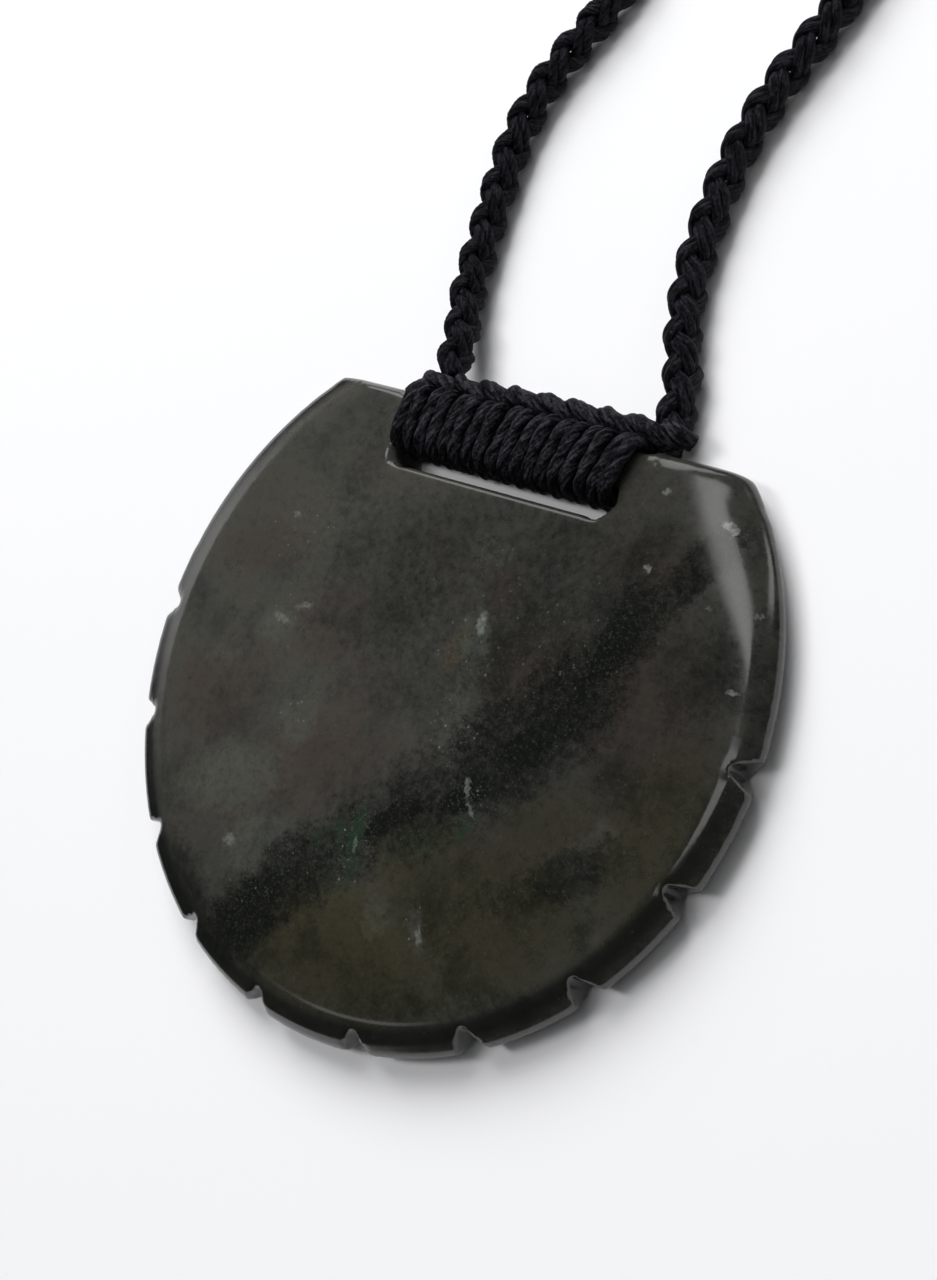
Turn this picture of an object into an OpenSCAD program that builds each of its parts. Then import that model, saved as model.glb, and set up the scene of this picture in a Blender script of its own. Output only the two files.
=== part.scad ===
/* [Disc] */
// Widest diameter of the stone disc
disc_d = 50; // [48:0.5:54]
// Thickness of the stone at the middle of its face
disc_t = 4; // [3.8:0.1:4.4]
// Fall of the domed face from its middle to its crease
face_fall = 0.5; // [0.4:0.05:0.6]
// Radius of the crease where the domed face meets the front bevel
crease_r = 22.75; // [22.4:0.05:23]
// Sideways offset of the domed face from the disc's centre
crease_offset = 0.85; // [0:0.05:0.9]
// Slope of the front bevel in degrees
bevel_slope = 23; // [18:1:28]
// Height of the widest part of the rim above the back
rim_z = 1.8; // [1.6:0.05:2]
// Radius that rounds the widest part of the rim
rim_round_r = 0.8; // [0.6:0.05:0.9]
// Lean of the rim's front and back walls in degrees
rim_lean = 43; // [40:1:48]
// Distance from the disc's centre to its straight top edge
chord_y = 18; // [17.5:0.1:18.4]
// Rounding of the straight top edge
chord_round_r = 1.2; // [0.8:0.1:1.3]

/* [Shoulders] */
// Direction of each shoulder's soft facet, in degrees above the disc's width
shoulder_turn = 40; // [35:1:45]
// Distance from the disc's centre to where a shoulder starts to fall away
shoulder_start = 21.6; // [21:0.1:22.5]
// Slope of a shoulder's soft facet in degrees
shoulder_slope = 11; // [6:1:14]

/* [Notches] */
// Width of a notch at the rim
notch_w = 1.7; // [1.2:0.1:2]
// Depth of a notch from the rim
notch_depth = 1.4; // [1:0.1:1.6]
// Radius of a notch's floor
notch_floor_r = 0.35; // [0.25:0.05:0.4]
// How far a notch's lips are worn back to each side
notch_lip = 0.4; // [0.2:0.05:0.5]

/* [Slot] */
// Length of the slot that the cord is bound through
slot_l = 18.6; // [18.5:0.1:19]
// Distance from the disc's centre to the slot's lower edge
slot_low_y = 12.7; // [12.4:0.1:13]
// Height of the slot
slot_h = 2.3; // [2.2:0.05:2.4]
// Radius of the slot's drilled lower corners
slot_end_r = 1.2; // [1.1:0.05:1.25]
// Width of the polished bevel round the slot's front edge
slot_bevel = 0.25; // [0.1:0.05:0.3]
// Depth of the seat across the back that takes the binding
seat_depth = 1.2; // [1.2:0.05:1.3]
// Dip of the straight top edge under the binding
edge_dip = 0.45; // [0.4:0.05:0.5]
// Length of the seat and of the dip
seat_l = 21.4; // [21.2:0.1:23]

/* [Binding] */
// Diameter of the binding thread
thread_d = 0.97; // [0.9:0.01:0.98]
// Distance from one turn of the binding to the next, at the slot
thread_pitch = 1; // [0.99:0.005:1.01]
// Turns round the bar above the slot
thread_turns = 18; // [15:1:18]
// Sideways offset of the binding from the disc's centre
binding_x = 0.25; // [0:0.05:0.3]
// How much wider the binding spreads over the top edge than in the slot
binding_fan = 0.06; // [0:0.01:0.08]
// Space between the thread and the stone
thread_gap = 0.1; // [0.06:0.01:0.1]

/* [Plait] */
// Thickness of the plait along the top of the binding
plait_d = 1.3; // [1.1:0.02:1.4]
// Hitches along the plait
hitches = 8; // [6:1:10]

/* [Cord] */
// Diameter of the braided cord
cord_d = 2.8; // [2.4:0.1:3]

/* [Hidden] */
eps = 0.01;
over = 2;

// Finenesses of the round forms
fn_big = 256;
fn_small = 48;

// The disc's own derived sizes
disc_r = disc_d / 2;
rim_centre_r = disc_r - rim_round_r;
crease_z = disc_t - face_fall;
dome_r = (crease_r * crease_r + face_fall * face_fall) / (2 * face_fall);
chord_t = disc_t - (chord_y * chord_y) / (2 * dome_r);

// Each notch's angle in degrees from the bottom of the disc, towards its right
notch_angles = [-87, -67.5, -46.5, -27.5, -8.3, 12.2, 32.2, 52.1, 71.6, 91.1];

// Half the size of the block that cuts a shoulder's facet
facet_block = 12;

// The bar above the slot, and the centre-line of the thread round it
slot_top_y = slot_low_y + slot_h;
slot_drill_dip = 0.12;
seat_round_r = 1;
thread_r = thread_d / 2;
thread_off = thread_r + thread_gap;
wrap_low_y = slot_top_y - thread_off;
wrap_high_y = chord_y - edge_dip + thread_off;
wrap_low_z = seat_depth - thread_off;
wrap_high_z = disc_t - face_fall / 2 + thread_off;
wrap_corner_r = 0.75;
wrap_corner_steps = 3;
thread_sides = 8;

// The plait sits on the binding's top, between the two legs of the cord
plait_gap = 0.05;
plait_y = wrap_high_y + thread_r + plait_gap + plait_d / 2;
plait_arch = 0.3;
plait_z = 2.9;
plait_left_x = -9.4;
plait_right_x = 8.9;
plait_rings_per_hitch = 6;
plait_waist = 0.16;
plait_sides = 10;

// The cord's route round the neck, from the left end of the plait to its right end, lying on a flat surface
cord_floor_gap = 0.05;
cord_z = cord_d / 2 + cord_floor_gap;
cord_route = [
    [-7.7, 20.7, 2.9], [-8.3, 22.4, 2.4], [-9.9, 26, 1.65], [-10.6, 30, cord_z], [-11, 34, cord_z],
    [-11.2, 38, cord_z], [-10.6, 42, cord_z], [-9.2, 45.5, cord_z], [-7.6, 49, cord_z], [-6.6, 54, cord_z],
    [-8, 62, cord_z], [-15, 76, cord_z], [-29, 93, cord_z], [-48, 113, cord_z], [-67, 136, cord_z],
    [-81, 163, cord_z], [-87, 193, cord_z], [-82, 223, cord_z], [-65, 248, cord_z], [-39, 264, cord_z],
    [-8, 270, cord_z], [24, 268, cord_z], [54, 256, cord_z], [77, 235, cord_z], [89, 207, cord_z],
    [88, 176, cord_z], [75, 147, cord_z], [57, 121, cord_z], [39, 98, cord_z], [24, 78, cord_z],
    [14, 62, cord_z], [10.2, 49.6, cord_z], [8, 43.6, cord_z], [6.9, 38, cord_z], [7, 31, cord_z],
    [8.2, 26.2, 1.5], [9.7, 22.6, 1.6], [10.5, 18.8, 1.7]
];
cord_ring_gap = 9;
cord_sides = 8;

// Points of a smooth line through p1 and p2, which heads for p2 from p0 and for p3 from p1
function blend(p0, p1, p2, p3, t) =
    0.5 * (2 * p1 + (p2 - p0) * t + (2 * p0 - 5 * p1 + 4 * p2 - p3) * t * t
        + (3 * p1 - p0 - 3 * p2 + p3) * t * t * t);

// A route's points with more set between them, so that no gap is much over the one given
function smooth_route(route, gap) = [
    for (i = [0 : len(route) - 2])
        let (
            before = route[max(i - 1, 0)],
            after = route[min(i + 2, len(route) - 1)],
            steps = max(1, round(norm(route[i + 1] - route[i]) / gap))
        )
        for (k = [0 : steps - 1]) blend(before, route[i], route[i + 1], after, k / steps),
    route[len(route) - 1]
];

// The unit direction of a line of points at its point i
function heading(line, i) =
    let (step = line[min(i + 1, len(line) - 1)] - line[max(i - 1, 0)]) step / norm(step);

// One ring of a tube: its middle, its heading, the way up that it keeps, and its radii
function ring(middle, ahead, up, r_side, r_up, sides) =
    let (
        across = cross(ahead, up) / norm(cross(ahead, up)),
        above = cross(across, ahead)
    )
    [for (k = [0 : sides - 1])
        let (a = 360 * (k + 0.5) / sides) middle + across * r_side * cos(a) + above * r_up * sin(a)];

// A closed tube through rings that all have the same number of sides
module tube(rings) {
    sides = len(rings[0]);
    last = (len(rings) - 1) * sides;
    polyhedron(
        points = [for (one = rings) each one],
        faces = [
            [for (k = [0 : sides - 1]) k],
            for (i = [0 : len(rings) - 2])
                for (k = [0 : sides - 1])
                    let (low = i * sides, next = (k + 1) % sides)
                    each [
                        [low + k, low + sides + k, low + sides + next],
                        [low + k, low + sides + next, low + next]
                    ],
            [for (k = [sides - 1 : -1 : 0]) last + k]
        ]
    );
}

// Half of the rim's section: a flat back, leaning walls and a rounded edge
module rim_section() {
    top_r = rim_centre_r + rim_round_r / cos(rim_lean);
    back_r = top_r - rim_z * tan(rim_lean);
    front_r = top_r - (disc_t - rim_z) * tan(rim_lean);
    touch = (rim_round_r - eps) * [cos(rim_lean), sin(rim_lean)];
    union() {
        polygon([
            [0, 0], [back_r, 0], [rim_centre_r + touch[0], rim_z - touch[1]],
            [rim_centre_r + touch[0], rim_z + touch[1]], [front_r, disc_t], [0, disc_t]
        ]);
        translate([rim_centre_r, rim_z]) circle(r = rim_round_r, $fn = fn_small);
    }
}

// Half of the front's section: the dome and the bevel round it
module front_section() {
    far_r = disc_r + over;
    rise = tan(bevel_slope);
    intersection() {
        polygon([[0, -over], [far_r, -over], [far_r, crease_z - (far_r - crease_r) * rise],
            [0, crease_z + crease_r * rise]]);
        translate([0, disc_t - dome_r]) circle(r = dome_r, $fn = fn_big);
    }
}

// The section from the bottom of the disc up to its rounded straight edge, drawn across its thickness
module chord_section() {
    low_y = -disc_r - over;
    inner_y = chord_y - chord_round_r;
    union() {
        polygon([[low_y, -over], [inner_y, -over], [inner_y, disc_t + over], [low_y, disc_t + over]]);
        polygon([[low_y, chord_round_r], [chord_y, chord_round_r], [chord_y, chord_t - chord_round_r],
            [low_y, chord_t - chord_round_r]]);
        for (z = [chord_round_r, chord_t - chord_round_r])
            translate([inner_y, z]) circle(r = chord_round_r, $fn = fn_small);
    }
}

// The solid that the straight top edge leaves
module below_chord() {
    rotate([90, 0, 90])
        linear_extrude(height = disc_d + 2 * over, center = true) chord_section();
}

// A block that takes one shoulder's soft facet off the front
module shoulder_facet() {
    rotate([0, 0, shoulder_turn])
        translate([shoulder_start, 0, crease_z])
        rotate([0, shoulder_slope, 0])
        translate([-facet_block, -facet_block, 0])
        cube([2 * facet_block, 2 * facet_block, facet_block]);
}

// One notch filed straight across the rim, with worn lips
module notch() {
    half = notch_w / 2;
    floor_y = -notch_depth + notch_floor_r;
    linear_extrude(height = disc_t + 2 * over) {
        polygon([
            [-half - notch_lip, over / 4], [-half, -notch_lip], [-notch_floor_r, floor_y],
            [notch_floor_r, floor_y], [half, -notch_lip], [half + notch_lip, over / 4]
        ]);
        translate([0, floor_y]) circle(r = notch_floor_r, $fn = fn_small);
    }
}

// The slot: two drilled lower corners with the stone sawn out up to the bar, and a bevelled front edge
module slot() {
    end_x = slot_l / 2 - slot_end_r;
    end_y = slot_low_y + slot_end_r - slot_drill_dip;
    bevel_low = disc_t - face_fall - slot_bevel;
    translate([-slot_l / 2, end_y, -over]) cube([slot_l, slot_top_y - end_y, disc_t + 2 * over]);
    for (side = [-1, 1])
        translate([side * end_x, end_y, 0]) {
            translate([0, 0, -over]) cylinder(r = slot_end_r, h = disc_t + 2 * over, $fn = fn_small);
            translate([0, 0, bevel_low])
                cylinder(r1 = slot_end_r, r2 = slot_end_r + 2 * slot_bevel, h = 2 * slot_bevel,
                    $fn = fn_small);
        }
    translate([-end_x, slot_low_y, -over]) cube([2 * end_x, slot_h, disc_t + 2 * over]);
    translate([-end_x, 0, 0])
        rotate([90, 0, 90])
        linear_extrude(height = 2 * end_x)
        polygon([
            [slot_low_y, bevel_low], [slot_top_y, bevel_low],
            [slot_top_y + 2 * slot_bevel, bevel_low + 2 * slot_bevel],
            [slot_low_y - 2 * slot_bevel, bevel_low + 2 * slot_bevel]
        ]);
}

// The seat ground across the bar's back and top edge, so that the binding stays clear of a flat surface
module seat() {
    flat_x = seat_l / 2 - seat_round_r;
    start_y = slot_low_y + slot_h / 2;
    translate([0, start_y, 0])
        rotate([-90, 0, 0])
        linear_extrude(height = chord_y - start_y + over) {
            translate([-flat_x, -seat_depth]) square([2 * flat_x, seat_depth + over]);
            translate([-flat_x - seat_round_r, 0]) square([2 * flat_x + 2 * seat_round_r, over]);
            for (side = [-1, 1])
                translate([side * flat_x, -seat_depth + seat_round_r])
                    circle(r = seat_round_r, $fn = fn_small);
        }
    translate([-seat_l / 2, chord_y - edge_dip, -over]) cube([seat_l, over, disc_t + 2 * over]);
}

// The stone disc
module disc() {
    color([0.16, 0.18, 0.15])
        difference() {
            intersection() {
                rotate_extrude($fn = fn_big) rim_section();
                translate([crease_offset, 0, 0]) rotate_extrude($fn = fn_big) front_section();
                below_chord();
            }
            shoulder_facet();
            mirror([1, 0, 0]) shoulder_facet();
            for (a = notch_angles)
                rotate([0, 0, a + 180]) translate([0, disc_r, -over]) notch();
            slot();
            seat();
        }
}

// The corners of one turn of the thread, from the top of the back: y, z of the arc's centre, start angle
wrap_corners = [
    [wrap_high_y - wrap_corner_r, wrap_low_z + wrap_corner_r, 0],
    [wrap_low_y + wrap_corner_r, wrap_low_z + wrap_corner_r, 270],
    [wrap_low_y + wrap_corner_r, wrap_high_z - wrap_corner_r, 180],
    [wrap_high_y - wrap_corner_r, wrap_high_z - wrap_corner_r, 90]
];

// The thread's centre-line: round the bar and one pitch along it at each turn, fanned out at the top
function wrap_point(turn, corner, step) =
    let (
        c = wrap_corners[corner],
        a = c[2] - 90 * step / wrap_corner_steps,
        y = c[0] + wrap_corner_r * cos(a),
        z = c[1] + wrap_corner_r * sin(a),
        way = turn + (corner + step / wrap_corner_steps / 2) / len(wrap_corners),
        x = (way - thread_turns / 2) * thread_pitch,
        spread = 1 + binding_fan * (y - wrap_low_y) / (wrap_high_y - wrap_low_y)
    )
    [binding_x + x * spread, y, z];

// The thread bound round the bar above the slot
module binding() {
    line = [
        for (turn = [0 : thread_turns - 1])
            for (corner = [0 : len(wrap_corners) - 1])
                for (step = [0 : wrap_corner_steps]) wrap_point(turn, corner, step)
    ];
    color([0.06, 0.06, 0.08])
        tube([for (i = [0 : len(line) - 1])
            ring(line[i], heading(line, i), [1, 0, 0], thread_r, thread_r, thread_sides)]);
}

// The row of hitches plaited along the top of the binding
module hitched_plait() {
    rings_in_all = hitches * plait_rings_per_hitch;
    length = plait_right_x - plait_left_x;
    color([0.06, 0.06, 0.08])
        tube([for (i = [0 : rings_in_all])
            let (
                x = plait_left_x + length * i / rings_in_all,
                swell = 1 - plait_waist * pow(cos(180 * i / plait_rings_per_hitch), 2),
                r = plait_d / 2 * swell,
                y = plait_y + plait_arch * sin(180 * i / rings_in_all)
            )
            ring([x, y, plait_z], [1, 0, 0], [0, 0, 1], r, r, plait_sides)]);
}

// The cord, one loop round the neck from one end of the plait to the other
module necklace_cord() {
    line = smooth_route(cord_route, cord_ring_gap);
    color([0.06, 0.06, 0.08])
        tube([for (i = [0 : len(line) - 1])
            ring(line[i], heading(line, i), [0, 0, 1], cord_d / 2, cord_d / 2, cord_sides)]);
}

disc();
binding();
hitched_plait();
necklace_cord();
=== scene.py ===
"""Looks of a notched stone disc pendant on its braided cord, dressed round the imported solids.

Everything is in metres and in the frame of the solids. The disc lies on its back on the floor, with its
domed front up and the middle of its outline at the origin, and its cord runs off along +Y.
"""

import logging
import math
from collections.abc import Callable, Iterator, Mapping, Sequence
from contextlib import contextmanager
from dataclasses import dataclass
from enum import Enum
from functools import partial
from typing import Any

import bmesh
import bpy
from mathutils import Matrix, Quaternion, Vector, noise


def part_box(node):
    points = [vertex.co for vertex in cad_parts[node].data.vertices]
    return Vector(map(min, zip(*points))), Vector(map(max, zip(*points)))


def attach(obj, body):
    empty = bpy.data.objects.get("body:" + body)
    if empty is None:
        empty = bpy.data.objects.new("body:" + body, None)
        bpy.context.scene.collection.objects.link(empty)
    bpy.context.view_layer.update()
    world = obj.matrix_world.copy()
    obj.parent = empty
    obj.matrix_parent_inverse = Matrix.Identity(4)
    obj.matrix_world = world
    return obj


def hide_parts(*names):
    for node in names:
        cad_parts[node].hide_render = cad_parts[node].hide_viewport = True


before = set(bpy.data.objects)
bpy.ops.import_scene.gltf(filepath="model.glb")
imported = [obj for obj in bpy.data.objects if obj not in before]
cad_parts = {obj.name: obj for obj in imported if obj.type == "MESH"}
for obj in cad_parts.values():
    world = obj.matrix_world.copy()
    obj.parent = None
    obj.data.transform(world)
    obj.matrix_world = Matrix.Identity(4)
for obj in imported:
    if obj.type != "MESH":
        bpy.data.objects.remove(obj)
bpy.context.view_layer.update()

MM = 0.001
TURN = 2 * math.pi
BODY = "root"
LOG = logging.getLogger("pendant")

# How near to each other two points of a solid, or of a swept thread, are merged
MERGE_GAP = 0.001 * MM
SEAM_GAP = 0.0005 * MM

# How many of a line's first steps its mean step is taken from
LEAD_STEPS = 20

Colour = tuple[float, float, float]
Input = Any

# The cord's route round the neck in millimetres, from the left end of the hitches to their right end
CORD_ROUTE = (
    (-7.7, 20.7, 2.9), (-8.3, 22.4, 2.4), (-9.9, 26, 1.65), (-10.6, 30, 1.45), (-11, 34, 1.45),
    (-11.2, 38, 1.45), (-10.6, 42, 1.45), (-9.2, 45.5, 1.45), (-7.6, 49, 1.45), (-6.6, 54, 1.45),
    (-8, 62, 1.45), (-15, 76, 1.45), (-29, 93, 1.45), (-48, 113, 1.45), (-67, 136, 1.45),
    (-81, 163, 1.45), (-87, 193, 1.45), (-82, 223, 1.45), (-65, 248, 1.45), (-39, 264, 1.45),
    (-8, 270, 1.45), (24, 268, 1.45), (54, 256, 1.45), (77, 235, 1.45), (89, 207, 1.45),
    (88, 176, 1.45), (75, 147, 1.45), (57, 121, 1.45), (39, 98, 1.45), (24, 78, 1.45),
    (14, 62, 1.45), (10.2, 49.6, 1.45), (8, 43.6, 1.45), (6.9, 38, 1.45), (7, 31, 1.45),
    (8.2, 26.2, 1.5), (9.7, 22.6, 1.6), (10.5, 18.8, 1.7),
)

# The middle of the row of hitches in millimetres, from the binding's left end to the cord's right leg
HITCH_ROUTE = (
    (-9.7, 17.7, 2.9), (-8.9, 18.65, 3.2), (-7.4, 18.9, 3.2), (-4, 18.95, 3.2), (0, 19.05, 3.2),
    (4, 19.1, 3.15), (7.6, 19.1, 3.1), (9.8, 19.1, 2.9), (11.2, 19.2, 2.5), (12.0, 19.3, 1.7),
)


class Slot(Enum):
    """The names of the material slots, one for each kind of finish."""

    STONE = "stone"
    THREAD = "binding_thread"
    CORD = "braided_cord"


class Signal:
    """One output of a material's nodes. Arithmetic on it adds Math nodes."""

    def __init__(self, board: "Board", socket: bpy.types.NodeSocket) -> None:
        """Wraps an output.

        Args:
            board: the material's board that the output's node is on.
            socket: the output.
        """
        self.board = board
        self.socket = socket

    def math(self, operation: str, *others: "Signal | float", clamp: bool = False) -> "Signal":
        """Adds a Math node that has this value first.

        Args:
            operation: the node's operation.
            others: the values after this one.
            clamp: whether the result is held between 0 and 1.

        Returns:
            The node's result.
        """
        settings = {"operation": operation, "use_clamp": clamp}
        return self.board.output("ShaderNodeMath", settings, dict(enumerate((self, *others))))

    def __add__(self, other: "Signal | float") -> "Signal":
        """This value plus another."""
        return self.math("ADD", other)

    __radd__ = __add__

    def __sub__(self, other: "Signal | float") -> "Signal":
        """This value less another."""
        return self.math("SUBTRACT", other)

    def __rsub__(self, other: float) -> "Signal":
        """A number less this value."""
        return self.math("MULTIPLY", -1.0) + other

    def __mul__(self, other: "Signal | float") -> "Signal":
        """This value times another."""
        return self.math("MULTIPLY", other)

    __rmul__ = __mul__

    def scaled(self, share: "Signal | float", more: "Signal | float") -> "Signal":
        """This value times one value, plus another."""
        return self.math("MULTIPLY_ADD", share, more)

    def dot(self, other: tuple[float, float, float], size: float = 1.0) -> "Signal":
        """This vector's dot product with another one of that size."""
        inputs = {0: self, 1: tuple(part * size for part in other)}
        return self.board.output("ShaderNodeVectorMath", {"operation": "DOT_PRODUCT"}, inputs, "Value")

    def higher(self, other: "Signal | float") -> "Signal":
        """The higher of this value and another."""
        return self.math("MAXIMUM", other)

    def held(self) -> "Signal":
        """This value held between 0 and 1."""
        return self.math("ADD", 0.0, clamp=True)

    def rise(self, low: float, high: float, out_low: float = 0.0, out_high: float = 1.0) -> "Signal":
        """This value taken smoothly from one range to another and held in it.

        Args:
            low: the value that gives out_low.
            high: the value that gives out_high.
            out_low: the result at and past low.
            out_high: the result at and past high.

        Returns:
            The smooth step.
        """
        if low > high:
            low, high, out_low, out_high = high, low, out_high, out_low
        settings = {"interpolation_type": "SMOOTHSTEP"}
        inputs = {"Value": self, "From Min": low, "From Max": high, "To Min": out_low, "To Max": out_high}
        return self.board.output("ShaderNodeMapRange", settings, inputs)


class Board:
    """The node tree of one material."""

    def __init__(self, name: str) -> None:
        """Starts an empty material.

        Args:
            name: the material's name.
        """
        self.material = bpy.data.materials.new(name)
        self.material.use_nodes = True
        self.tree = self.material.node_tree
        self.tree.nodes.clear()

    def add(self, kind: str, settings: Mapping[str, Any],
            inputs: Mapping[str | int, Input]) -> bpy.types.Node:
        """Adds one node.

        Args:
            kind: the node's type.
            settings: the node's own properties, which are set first.
            inputs: a value or a Signal for each named or numbered input.

        Returns:
            The node.
        """
        node = self.tree.nodes.new(kind)
        for name, value in settings.items():
            setattr(node, name, value)
        for key, value in inputs.items():
            if isinstance(value, Signal):
                self.tree.links.new(value.socket, node.inputs[key])
            else:
                node.inputs[key].default_value = value
        return node

    def output(self, kind: str, settings: Mapping[str, Any], inputs: Mapping[str | int, Input],
               key: str | int = 0) -> Signal:
        """Adds one node and gives one of its outputs.

        Args:
            kind: the node's type.
            settings: the node's own properties.
            inputs: a value or a Signal for each named or numbered input.
            key: the output's name or number.

        Returns:
            The output.
        """
        return Signal(self, self.add(kind, settings, inputs).outputs[key])

    def place(self) -> Signal:
        """The point on the piece, in millimetres."""
        point = self.output("ShaderNodeTexCoord", {}, {}, "Object")
        return self.vector("SCALE", point, Scale=1 / MM)

    def vector(self, operation: str, *values: Input, **named: Input) -> Signal:
        """Adds a Vector Math node.

        Args:
            operation: the node's operation.
            values: its vectors.
            named: its inputs that go by name.

        Returns:
            The node's vector.
        """
        inputs = {**dict(enumerate(values)), **named}
        return self.output("ShaderNodeVectorMath", {"operation": operation}, inputs)

    def parts(self, vector: Signal) -> tuple[Signal, Signal, Signal]:
        """A vector's x, y and z."""
        node = self.add("ShaderNodeSeparateXYZ", {}, {0: vector})
        x, y, z = (Signal(self, socket) for socket in node.outputs)
        return x, y, z

    def joined(self, x: Input, y: Input, z: Input) -> Signal:
        """A vector from its x, y and z."""
        return self.output("ShaderNodeCombineXYZ", {}, {0: x, 1: y, 2: z})

    def cloud(self, where: Signal, scale: float, detail: float = 3.0, rough: float = 0.55) -> Signal:
        """A soft noise from 0 to 1.

        Args:
            where: the point that it is read at.
            scale: its grains in each unit of where.
            detail: how many finer layers lie on it.
            rough: how strong the finer layers are.

        Returns:
            The noise.
        """
        inputs = {"Vector": where, "Scale": scale, "Detail": detail, "Roughness": rough}
        return self.output("ShaderNodeTexNoise", {}, inputs)

    def strayed(self, where: Signal, scale: float, detail: float, rough: float, stray: float) -> Signal:
        """A point moved to and fro by a noise.

        Args:
            where: the point.
            scale: the noise's grains in each unit of where.
            detail: how many finer layers lie on it.
            rough: how strong the finer layers are.
            stray: how far the point moves at most along each axis.

        Returns:
            The moved point.
        """
        inputs = {"Vector": where, "Scale": scale, "Detail": detail, "Roughness": rough}
        either_way = self.output("ShaderNodeTexNoise", {}, inputs, "Color")
        move = self.vector("MULTIPLY_ADD", either_way, (2 * stray,) * 3, (-stray,) * 3)
        return self.vector("ADD", where, move)

    def mix(self, share: Input, first: Input, second: Input) -> Signal:
        """One colour over another.

        Args:
            share: how much of the second colour shows.
            first: the colour below.
            second: the colour above.

        Returns:
            The mixed colour.
        """
        inputs = {0: share, 6: solid(first), 7: solid(second)}
        return self.output("ShaderNodeMix", {"data_type": "RGBA", "clamp_factor": True}, inputs, 2)

    def finish(self, shader: Mapping[str, Input],
               bumps: Sequence[tuple[Signal, float, float]]) -> bpy.types.Material:
        """Closes the material with its shader.

        Args:
            shader: the shader's inputs.
            bumps: height, depth in metres and strength of each layer of relief.

        Returns:
            The material.
        """
        inputs = dict(shader)
        for height, depth, strength in bumps:
            relief = {"Height": height, "Distance": depth, "Strength": strength}
            if "Normal" in inputs:
                relief["Normal"] = inputs["Normal"]
            inputs["Normal"] = self.output("ShaderNodeBump", {}, relief)
        surface = self.output("ShaderNodeBsdfPrincipled", {}, inputs)
        self.add("ShaderNodeOutputMaterial", {}, {"Surface": surface})
        return self.material


def solid(colour: Input) -> Input:
    """A colour with its alpha, or the Signal that was given."""
    return (*colour, 1.0) if isinstance(colour, tuple) else colour


# Where a patch is gone and where it is full, as squared shares of its half-lengths
PATCH_EDGE = 1.6
PATCH_CORE = 0.06


@dataclass(frozen=True)
class Patch:
    """A soft-edged oval patch of the stone.

    Its columns are its middle's place on the face and its two half-lengths, all in millimetres, the turn of
    its long side from the x axis in degrees, and how strongly it shows in its middle.
    """

    x: float
    y: float
    long: float
    wide: float
    turn: float
    strength: float

    def mask(self, where: Signal) -> Signal:
        """How strongly the patch shows.

        Args:
            where: the point on the face, with 1 as its height.

        Returns:
            The patch's strength in its middle, and 0 outside it.
        """
        cos, sin = math.cos(math.radians(self.turn)), math.sin(math.radians(self.turn))
        along = where.dot((cos, sin, -self.x * cos - self.y * sin), 1 / self.long)
        across = where.dot((-sin, cos, self.x * sin - self.y * cos), 1 / self.wide)
        return along.scaled(along, across * across).rise(PATCH_EDGE, PATCH_CORE, 0.0, self.strength)


def charted(where: Signal, patches: Sequence[Patch]) -> Signal:
    """The strongest of several patches at each point.

    Args:
        where: the point on the face, with 1 as its height.
        patches: the patches.

    Returns:
        Their strength.
    """
    signal = patches[0].mask(where)
    for one in patches[1:]:
        signal = signal.higher(one.mask(where))
    return signal


# The dark vein that runs up across the face from its lower left
VEIN = (
    Patch(17.2, 11.6, 4.0, 1.5, 58, 0.75), Patch(14.2, 6.2, 5.0, 2.4, 68, 0.72),
    Patch(12.0, 1.0, 4.8, 3.8, 60, 0.75), Patch(8.8, -3.2, 6.0, 4.2, 47, 0.68),
    Patch(4.0, -8.4, 6.0, 3.6, 44, 0.62), Patch(0.2, -11.8, 5.0, 3.2, 46, 0.64),
    Patch(-3.0, -14.9, 5.4, 3.0, 50, 0.68), Patch(-6.0, -19.0, 5.0, 2.8, 52, 0.82),
    Patch(16.2, -9.0, 4.6, 2.0, 40, 0.52), Patch(11.4, -12.2, 4.0, 1.5, 30, 0.34),
    Patch(13.4, 4.4, 5.6, 1.3, 66, 0.9), Patch(10.2, -2.6, 4.4, 1.7, 56, 0.86),
    Patch(7.0, -6.6, 3.4, 1.4, 48, 0.9), Patch(2.6, -9.8, 4.0, 1.3, 40, 0.9),
)

# Broad dark clouds: below the left of the slot, by the upper left, and along the lower left of the rim
CLOUDS = (
    Patch(-2.6, 6.4, 5.0, 6.8, -25, 0.66), Patch(-11.0, 12.0, 2.0, 4.6, 0, 0.45),
    Patch(0.5, 5.0, 13.0, 8.6, 0, 0.5), Patch(-12.6, -19.8, 6.0, 2.4, -35, 0.9),
    Patch(-21.4, -9.8, 7.0, 1.8, -62, 0.5), Patch(6.4, 9.0, 8.6, 4.6, 5, 0.48),
    Patch(20.0, 6.0, 3.0, 5.0, 0, 0.35),
)

# Brown areas
BROWN = (
    Patch(-5.6, -8.4, 6.6, 3.4, 25, 0.9), Patch(-15.6, -6.0, 4.6, 4.2, 30, 0.7),
    Patch(-8.2, 1.0, 3.2, 3.4, 0, 0.6), Patch(-16.8, 4.4, 4.0, 2.0, 10, 0.6),
    Patch(8.6, 2.6, 5.0, 3.4, 35, 0.8), Patch(17.6, 1.6, 4.6, 6.6, 0, 0.85),
    Patch(13.6, 10.8, 3.6, 2.6, 20, 0.7), Patch(4.6, 6.6, 2.0, 2.4, 0, 0.6),
    Patch(12.0, -8.2, 6.0, 2.2, 20, 0.5), Patch(-14.0, -12.4, 4.6, 3.4, -40, 0.35),
    Patch(-3.4, -3.0, 3.6, 3.0, 0, 0.5),
)

# The one ochre spot, right of the middle
OCHRE_SPOT = Patch(2.4, 2.0, 0.9, 1.9, -8, 0.6)

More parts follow.
